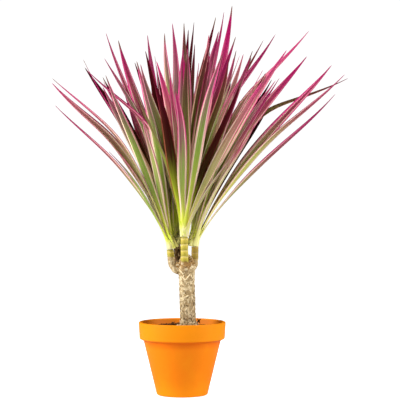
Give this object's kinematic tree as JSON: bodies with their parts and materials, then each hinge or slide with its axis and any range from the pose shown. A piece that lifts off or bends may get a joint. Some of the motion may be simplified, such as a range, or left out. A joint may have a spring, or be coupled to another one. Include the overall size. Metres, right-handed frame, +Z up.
{
  "type": "potted bicolor madagascar dragon tree",
  "caption": "Young potted tree: one short cut cane in a round tapered clay pot with a banded rim, and upright bare shoots that each fan out long, narrow, striped sword leaves.",
  "frame": {"origin": "middle of the pot's flat underside, on the pot's axis", "axes": "+Z up along the pot's axis; -Y is the front, the side the picture shows; +X is to the right as seen from the front"},
  "size_m": [0.5303, 0.4927, 0.6873],
  "materials": {
    "pot": "smooth orange paint on clay, satin",
    "soil": "coarse dark potting mix, matt",
    "trunk": "pale tan bark, ringed, matt",
    "shoot_left": "yellow-green to tan stem, ringed",
    "shoot_centre": "yellow-green stem, ringed",
    "shoot_right": "ochre stem, ringed",
    "shoot_back": "dark brown stem, ringed",
    "crown_left": "smooth striped leaves, slight sheen",
    "crown_centre": "smooth striped leaves, slight sheen",
    "crown_right": "smooth striped leaves, slight sheen",
    "crown_back": "smooth dark leaves, slight sheen"
  },
  "bodies": {
    "root": {"pot": "pot", "soil": "soil", "trunk": "trunk", "shoot_left": "shoot_left", "shoot_centre": "shoot_centre", "shoot_right": "shoot_right", "shoot_back": "shoot_back", "crown_left": "crown_left", "crown_centre": "crown_centre", "crown_right": "crown_right", "crown_back": "crown_back"}
  },
  "joints": []
}
